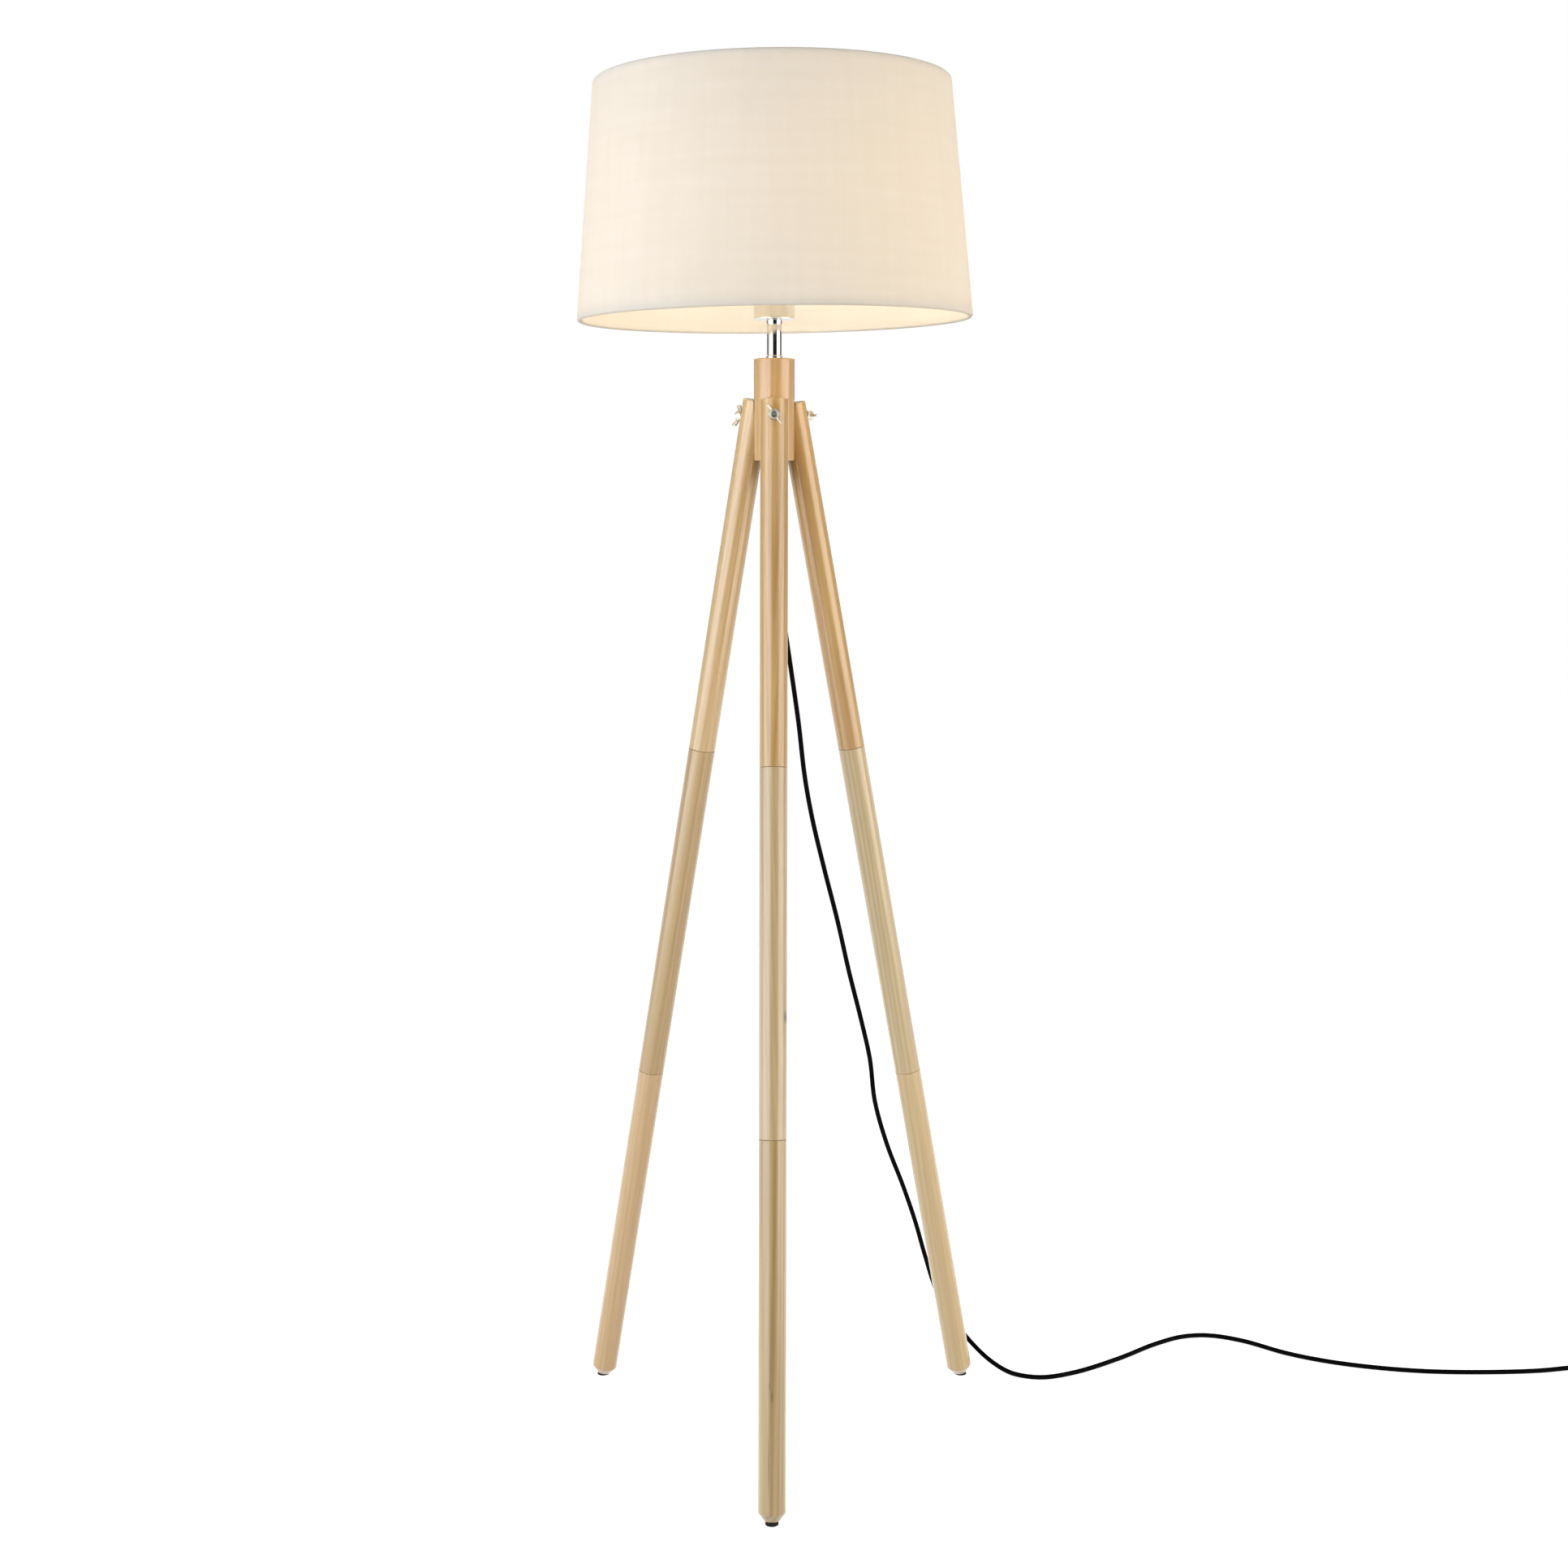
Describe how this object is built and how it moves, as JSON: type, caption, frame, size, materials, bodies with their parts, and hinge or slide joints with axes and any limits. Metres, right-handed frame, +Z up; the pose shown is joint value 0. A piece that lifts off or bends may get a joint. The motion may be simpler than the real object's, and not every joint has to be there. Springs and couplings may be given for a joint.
{
  "type": "tripod floor lamp",
  "caption": "Floor lamp on three splayed round wooden legs, with a turned wooden hub, a short chromed tube, a tapered drum shade and a mains cord.",
  "frame": {"origin": "on the floor, in the middle of the lamp's footprint box (cord, switch and plug left out)", "axes": "+Z up along the hub and the tube; -Y towards the front leg; the cord runs off to +X"},
  "size_m": [1.4265, 0.5066, 1.5328],
  "materials": {
    "honey_wood": "satin lacquer",
    "pale_wood": "satin lacquer",
    "tan_wood": "satin lacquer",
    "rubber": "matt",
    "zinc_steel": "zinc plated",
    "chrome": "polished",
    "holder_plastic": "satin",
    "ceramic": "glazed ceramic",
    "brass": "satin",
    "bulb_metal": "satin",
    "bulb_glass": "frosted, lit",
    "shade_fabric": "matt woven textile on a stiff liner",
    "painted_wire": "white powder coat",
    "black_plastic": "fine texture",
    "cord_sheath": "satin",
    "plug_pins": "nickel plated"
  },
  "bodies": {
    "root": {"hub": "honey_wood", "leg_front_upper": "honey_wood", "leg_left_upper": "honey_wood", "leg_right_upper": "honey_wood", "leg_front_middle": "pale_wood", "leg_left_middle": "pale_wood", "leg_right_middle": "pale_wood", "leg_front_lower": "tan_wood", "leg_left_lower": "tan_wood", "leg_right_lower": "tan_wood", "foot_pad_front": "rubber", "foot_pad_left": "rubber", "foot_pad_right": "rubber", "stud_front": "zinc_steel", "washer_front": "zinc_steel", "joint_screw_front_lower": "zinc_steel", "joint_screw_front_upper": "zinc_steel", "stud_left": "zinc_steel", "washer_left": "zinc_steel", "joint_screw_left_lower": "zinc_steel", "joint_screw_left_upper": "zinc_steel", "stud_right": "zinc_steel", "washer_right": "zinc_steel", "joint_screw_right_lower": "zinc_steel", "joint_screw_right_upper": "zinc_steel", "base_ring": "chrome", "tube": "chrome", "collar": "chrome", "holder_cup": "chrome", "nipple": "zinc_steel", "nipple_nut_lower": "zinc_steel", "nipple_nut_upper": "zinc_steel", "holder_skirt": "holder_plastic", "holder_core": "ceramic", "screw_shell": "brass", "centre_contact": "brass", "cord_gland": "black_plastic", "plug_body": "black_plastic", "switch_base": "black_plastic", "switch_cover": "black_plastic", "switch_boot_in": "black_plastic", "switch_boot_out": "black_plastic", "cord_inside_stem": "cord_sheath", "cord_lead": "cord_sheath", "cord_run": "cord_sheath", "cord_coil": "cord_sheath", "cord_tail": "cord_sheath", "plug_pin_left": "plug_pins", "plug_pin_right": "plug_pins"},
    "shade": {"shade_skin": "shade_fabric", "shade_frame": "painted_wire", "shade_lower_ring": "painted_wire"},
    "clamp_ring": {"shade_clamp_ring": "holder_plastic"},
    "bulb": {"bulb_glass": "bulb_glass", "bulb_cap": "bulb_metal"},
    "switch_button": {"switch_button": "black_plastic"},
    "wing_nut_front": {"wing_nut_front": "zinc_steel"},
    "wing_nut_left": {"wing_nut_left": "zinc_steel"},
    "wing_nut_right": {"wing_nut_right": "zinc_steel"}
  },
  "joints": [
    {"name": "wing_nut_front_turn", "type": "hinge", "parent": "root", "child": "wing_nut_front", "pos_m": [-0.0075, -0.0224, 1.159], "axis": [0, -1, 0], "continuous": true},
    {"name": "wing_nut_left_turn", "type": "hinge", "parent": "root", "child": "wing_nut_left", "pos_m": [-0.04422, 0.0412, 1.159], "axis": [-0.866, 0.5, 0], "continuous": true},
    {"name": "wing_nut_right_turn", "type": "hinge", "parent": "root", "child": "wing_nut_right", "pos_m": [0.02922, 0.0412, 1.159], "axis": [0.866, 0.5, 0], "continuous": true},
    {"name": "shade_turn", "type": "hinge", "parent": "root", "child": "shade", "pos_m": [-0.0075, 0.02, 1.3202], "axis": [0, 0, 1], "continuous": true},
    {"name": "clamp_ring_turn", "type": "hinge", "parent": "root", "child": "clamp_ring", "pos_m": [-0.0075, 0.02, 1.326], "axis": [0, 0, 1], "continuous": true},
    {"name": "bulb_unscrew", "type": "hinge", "parent": "root", "child": "bulb", "pos_m": [-0.0075, 0.02, 1.32], "axis": [0, 0, 1], "continuous": true},
    {"name": "switch_press", "type": "slide", "parent": "root", "child": "switch_button", "axis": [0, 0, -1], "range_m": [0, 0.003], "stiffness_N_per_m": 400, "springref_m": -0.003}
  ]
}
